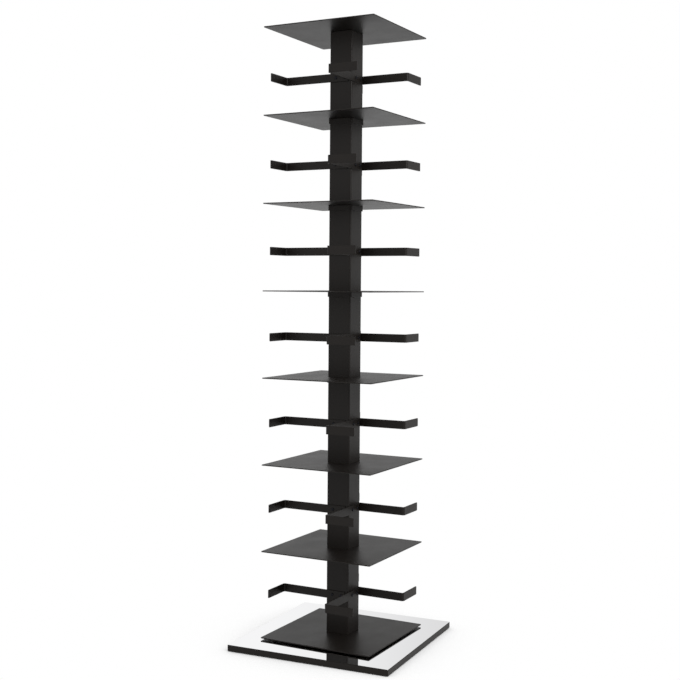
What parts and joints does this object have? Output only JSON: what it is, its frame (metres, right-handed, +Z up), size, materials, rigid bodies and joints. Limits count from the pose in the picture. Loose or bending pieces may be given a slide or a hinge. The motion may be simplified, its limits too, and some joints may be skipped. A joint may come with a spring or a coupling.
{
  "type": "spine bookshelf",
  "caption": "Tall, narrow tower bookcase: thin square black steel shelves with bent row stops round a central column, turning on a square base plate with a mirror-bright top.",
  "frame": {"origin": "on the floor, under the column's axis", "axes": "+Z up; +X and +Y square to the tower's sides at rest, so that the side on the left in the picture faces -Y and the one on the right faces +X"},
  "size_m": [0.5444, 0.5444, 1.8545],
  "materials": {
    "black_powder_coat": "satin black powder coat, very fine texture",
    "mirror_steel": "mirror-polished stainless steel",
    "bearing_steel": "ground bearing steel, lightly greased",
    "zinc_plate": "bright zinc plate",
    "bronze": "turned bearing bronze",
    "brass_cage": "pressed brass sheet",
    "nylon_glide": "moulded black nylon"
  },
  "bodies": {
    "base": {"base_plate": "black_powder_coat", "base_cover_sheet": "mirror_steel", "base_glide_1": "nylon_glide", "base_glide_2": "nylon_glide", "base_glide_3": "nylon_glide", "base_glide_4": "nylon_glide", "pivot_bush": "bronze", "lower_race": "bearing_steel"},
    "cage": {"ball_cage": "brass_cage"},
    "tower": {"upper_race": "bearing_steel", "pivot_bolt": "zinc_plate", "pivot_washer": "zinc_plate", "pivot_nut": "zinc_plate", "column": "black_powder_coat", "column_foot_plug": "zinc_plate", "column_top_plug": "black_powder_coat", "shelf_1": "black_powder_coat", "row_stop_1_front": "black_powder_coat", "row_stop_1_right": "black_powder_coat", "row_stop_1_back": "black_powder_coat", "row_stop_1_left": "black_powder_coat", "shelf_2": "black_powder_coat", "shelf_collar_2": "black_powder_coat", "row_stop_2_front": "black_powder_coat", "row_stop_2_right": "black_powder_coat", "row_stop_2_back": "black_powder_coat", "row_stop_2_left": "black_powder_coat", "shelf_3": "black_powder_coat", "shelf_collar_3": "black_powder_coat", "row_stop_3_front": "black_powder_coat", "row_stop_3_right": "black_powder_coat", "row_stop_3_back": "black_powder_coat", "row_stop_3_left": "black_powder_coat", "shelf_4": "black_powder_coat", "shelf_collar_4": "black_powder_coat", "row_stop_4_front": "black_powder_coat", "row_stop_4_right": "black_powder_coat", "row_stop_4_back": "black_powder_coat", "row_stop_4_left": "black_powder_coat", "shelf_5": "black_powder_coat", "shelf_collar_5": "black_powder_coat", "row_stop_5_front": "black_powder_coat", "row_stop_5_right": "black_powder_coat", "row_stop_5_back": "black_powder_coat", "row_stop_5_left": "black_powder_coat", "shelf_6": "black_powder_coat", "shelf_collar_6": "black_powder_coat", "row_stop_6_front": "black_powder_coat", "row_stop_6_right": "black_powder_coat", "row_stop_6_back": "black_powder_coat", "row_stop_6_left": "black_powder_coat", "shelf_7": "black_powder_coat", "shelf_collar_7": "black_powder_coat", "row_stop_7_front": "black_powder_coat", "row_stop_7_right": "black_powder_coat", "row_stop_7_back": "black_powder_coat", "row_stop_7_left": "black_powder_coat", "top_plate": "black_powder_coat"}
  },
  "joints": [
    {"name": "tower_turn", "type": "hinge", "parent": "base", "child": "tower", "pos_m": [0, 0, 0.0199], "axis": [0, 0, 1], "continuous": true},
    {"name": "cage_turn", "type": "hinge", "parent": "base", "child": "cage", "pos_m": [0, 0, 0.0199], "axis": [0, 0, 1], "continuous": true}
  ],
  "couplings": [
    {"joint": "cage_turn", "follows": "tower_turn", "ratio": 0.5}
  ]
}
